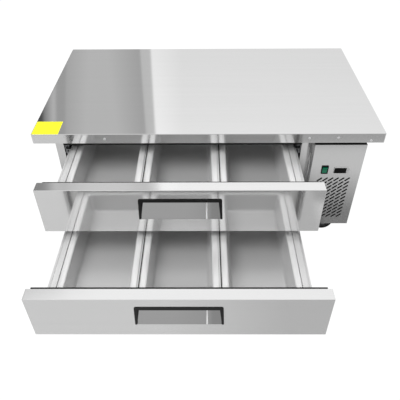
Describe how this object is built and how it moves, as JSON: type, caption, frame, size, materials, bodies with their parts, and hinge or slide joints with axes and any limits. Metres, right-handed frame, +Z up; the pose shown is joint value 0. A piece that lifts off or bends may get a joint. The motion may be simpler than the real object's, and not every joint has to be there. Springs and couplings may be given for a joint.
{
  "type": "refrigerated chef base",
  "caption": "Low stainless refrigerated base on casters: pull-out drawers of drawn pans under an overhanging worktop, and a machine compartment with a slotted grille at its right.",
  "frame": {"origin": "on the floor, under the middle of the bounding box with both drawers open as in the picture", "axes": "+X to the right along the width, +Y to the back, +Z up"},
  "size_m": [1.534, 1.447, 0.676],
  "materials": {
    "stainless": "brushed stainless steel, satin",
    "pan_stainless": "drawn stainless steel, smooth satin",
    "galvanised": "galvanised steel, dull",
    "zinc": "zinc plated steel",
    "fins": "thin aluminium fins",
    "black_fins": "thin aluminium fins, coated black",
    "black_paint": "black paint, satin",
    "black_plastic": "black, satin",
    "grey_plastic": "light grey",
    "green_plastic": "green, lit from behind when on",
    "gasket": "dark soft seal",
    "tyre": "black, satin",
    "foam": "rigid insulating foam, unseen",
    "panel_foam": "foamed block with a light grey plastic face"
  },
  "bodies": {
    "cabinet": {"worktop": "stainless", "worktop_core": "foam", "outer_shell": "stainless", "insulation": "foam", "liner": "stainless", "front_frame": "stainless", "base_frame": "galvanised", "machine_front_panel": "stainless", "machine_side_panel": "stainless", "machine_back_panel": "galvanised", "power_inlet": "black_plastic", "switch_bezel": "black_plastic", "controller_bezel": "grey_plastic", "control_box": "galvanised", "condenser": "black_fins", "condenser_fan_shroud": "black_paint", "compressor": "black_paint", "evaporator_coil": "fins", "evaporator_cover": "galvanised", "upper_slide_fixed_left": "zinc", "upper_slide_fixed_right": "zinc", "lower_slide_fixed_left": "zinc", "lower_slide_fixed_right": "zinc"},
    "upper_drawer": {"upper_front_skin": "stainless", "upper_inner_panel": "panel_foam", "upper_gasket": "gasket", "upper_handle_bezel": "black_plastic", "upper_handle_scoop": "stainless", "upper_pan_carrier": "stainless", "upper_pan_1": "pan_stainless", "upper_pan_2": "pan_stainless", "upper_pan_3": "pan_stainless"},
    "lower_drawer": {"lower_front_skin": "stainless", "lower_inner_panel": "panel_foam", "lower_gasket": "gasket", "lower_handle_bezel": "black_plastic", "lower_handle_scoop": "stainless", "lower_pan_carrier": "stainless", "lower_pan_1": "pan_stainless", "lower_pan_2": "pan_stainless", "lower_pan_3": "pan_stainless"},
    "upper_slide_middles": {"upper_slide_middle_left": "zinc", "upper_slide_middle_right": "zinc"},
    "lower_slide_middles": {"lower_slide_middle_left": "zinc", "lower_slide_middle_right": "zinc"},
    "condenser_fan_rotor": {"condenser_fan": "black_plastic"},
    "evaporator_fan_rotor": {"evaporator_fan": "black_plastic"},
    "rocker": {"switch_rocker": "green_plastic"},
    "button_up": {"controller_button_up": "grey_plastic"},
    "button_down": {"controller_button_down": "grey_plastic"},
    "front_left_fork": {"front_left_caster_fork": "zinc"},
    "front_left_wheel": {"front_left_caster_wheel": "tyre"},
    "front_left_pedal": {"front_left_brake_pedal": "zinc"},
    "front_right_fork": {"front_right_caster_fork": "zinc"},
    "front_right_wheel": {"front_right_caster_wheel": "tyre"},
    "front_right_pedal": {"front_right_brake_pedal": "zinc"},
    "rear_left_fork": {"rear_left_caster_fork": "zinc"},
    "rear_left_wheel": {"rear_left_caster_wheel": "tyre"},
    "rear_right_fork": {"rear_right_caster_fork": "zinc"},
    "rear_right_wheel": {"rear_right_caster_wheel": "tyre"}
  },
  "joints": [
    {"name": "upper_drawer_slide", "type": "slide", "parent": "cabinet", "child": "upper_drawer", "axis": [0, -1, 0], "range_m": [-0.27, 0.337]},
    {"name": "lower_drawer_slide", "type": "slide", "parent": "cabinet", "child": "lower_drawer", "axis": [0, -1, 0], "range_m": [-0.607, 0]},
    {"name": "upper_slide_travel", "type": "slide", "parent": "cabinet", "child": "upper_slide_middles", "axis": [0, -1, 0], "range_m": [-0.135, 0.1685]},
    {"name": "lower_slide_travel", "type": "slide", "parent": "cabinet", "child": "lower_slide_middles", "axis": [0, -1, 0], "range_m": [-0.3035, 0]},
    {"name": "condenser_fan_spin", "type": "hinge", "parent": "cabinet", "child": "condenser_fan_rotor", "pos_m": [0.58, 0.0085, 0.3005], "axis": [0, 1, 0], "continuous": true},
    {"name": "evaporator_fan_spin", "type": "hinge", "parent": "cabinet", "child": "evaporator_fan_rotor", "pos_m": [-0.115, 0.563, 0.435], "axis": [0, 1, 0], "continuous": true},
    {"name": "switch_swing", "type": "hinge", "parent": "cabinet", "child": "rocker", "pos_m": [0.5325, -0.1085, 0.475], "axis": [-1, 0, 0], "range_deg": [0, 22]},
    {"name": "button_up_press", "type": "slide", "parent": "cabinet", "child": "button_up", "axis": [0, 1, 0], "range_m": [0, 0.001], "stiffness_N_per_m": 300},
    {"name": "button_down_press", "type": "slide", "parent": "cabinet", "child": "button_down", "axis": [0, 1, 0], "range_m": [0, 0.001], "stiffness_N_per_m": 300},
    {"name": "front_left_swivel", "type": "hinge", "parent": "cabinet", "child": "front_left_fork", "pos_m": [-0.6275, -0.0195, 0.11], "axis": [0, 0, 1], "continuous": true},
    {"name": "front_left_roll", "type": "hinge", "parent": "front_left_fork", "child": "front_left_wheel", "pos_m": [-0.5975, -0.0195, 0.05], "axis": [0, 1, 0], "continuous": true},
    {"name": "front_left_brake", "type": "hinge", "parent": "front_left_fork", "child": "front_left_pedal", "pos_m": [-0.6075, -0.0195, 0.1057], "axis": [0, 1, 0], "range_deg": [0, 8]},
    {"name": "front_right_swivel", "type": "hinge", "parent": "cabinet", "child": "front_right_fork", "pos_m": [0.635, -0.0195, 0.11], "axis": [0, 0, 1], "continuous": true},
    {"name": "front_right_roll", "type": "hinge", "parent": "front_right_fork", "child": "front_right_wheel", "pos_m": [0.605, -0.0195, 0.05], "axis": [0, -1, 0], "continuous": true},
    {"name": "front_right_brake", "type": "hinge", "parent": "front_right_fork", "child": "front_right_pedal", "pos_m": [0.615, -0.0195, 0.1057], "axis": [0, -1, 0], "range_deg": [0, 8]},
    {"name": "rear_left_swivel", "type": "hinge", "parent": "cabinet", "child": "rear_left_fork", "pos_m": [-0.6275, 0.6455, 0.11], "axis": [0, 0, 1], "continuous": true},
    {"name": "rear_left_roll", "type": "hinge", "parent": "rear_left_fork", "child": "rear_left_wheel", "pos_m": [-0.6125, 0.67148, 0.05], "axis": [-0.866, 0.5, 0], "continuous": true},
    {"name": "rear_right_swivel", "type": "hinge", "parent": "cabinet", "child": "rear_right_fork", "pos_m": [0.635, 0.6455, 0.11], "axis": [0, 0, 1], "continuous": true},
    {"name": "rear_right_roll", "type": "hinge", "parent": "rear_right_fork", "child": "rear_right_wheel", "pos_m": [0.61572, 0.66848, 0.05], "axis": [-0.766, -0.6428, 0], "continuous": true}
  ],
  "couplings": [
    {"joint": "upper_slide_travel", "follows": "upper_drawer_slide", "ratio": 0.5},
    {"joint": "lower_slide_travel", "follows": "lower_drawer_slide", "ratio": 0.5}
  ]
}
